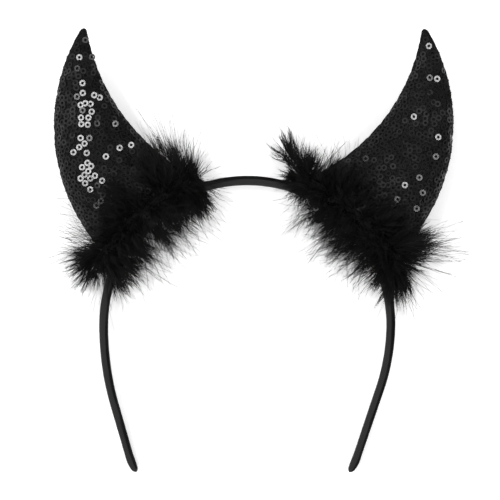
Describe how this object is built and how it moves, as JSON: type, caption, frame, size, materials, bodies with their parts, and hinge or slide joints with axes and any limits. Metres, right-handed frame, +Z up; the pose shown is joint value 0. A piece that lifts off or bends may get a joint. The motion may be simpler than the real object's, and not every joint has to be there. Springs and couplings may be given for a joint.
{
  "type": "devil horns headband",
  "caption": "Skinny fabric-covered headband with two stuffed crescent horns in black sequin cloth and a black marabou feather trim round the foot of each horn.",
  "frame": {"origin": "on the surface that the headband lies on, under the middle of its bounding box", "axes": "+Z up out of the front of the headband as it lies on its back, +Y towards the horn tips, +X to the right as seen from the front; the arch is tipped 5 degrees, crown up, because it rests on the ends of the band and on the feathers behind the horns"},
  "size_m": [0.1896, 0.2142, 0.0409],
  "materials": {
    "covered_band": "a springy plastic core in a sleeve of black satin-weave cloth",
    "sequin_cloth": "black cloth sewn all over with 3 mm glossy black ring sequins, stuffed",
    "marabou": "dyed black marabou down, matt and fluffy"
  },
  "bodies": {
    "root": {"band": "covered_band", "horn_left": "sequin_cloth", "horn_right": "sequin_cloth", "marabou_left": "marabou", "marabou_right": "marabou"}
  },
  "joints": []
}
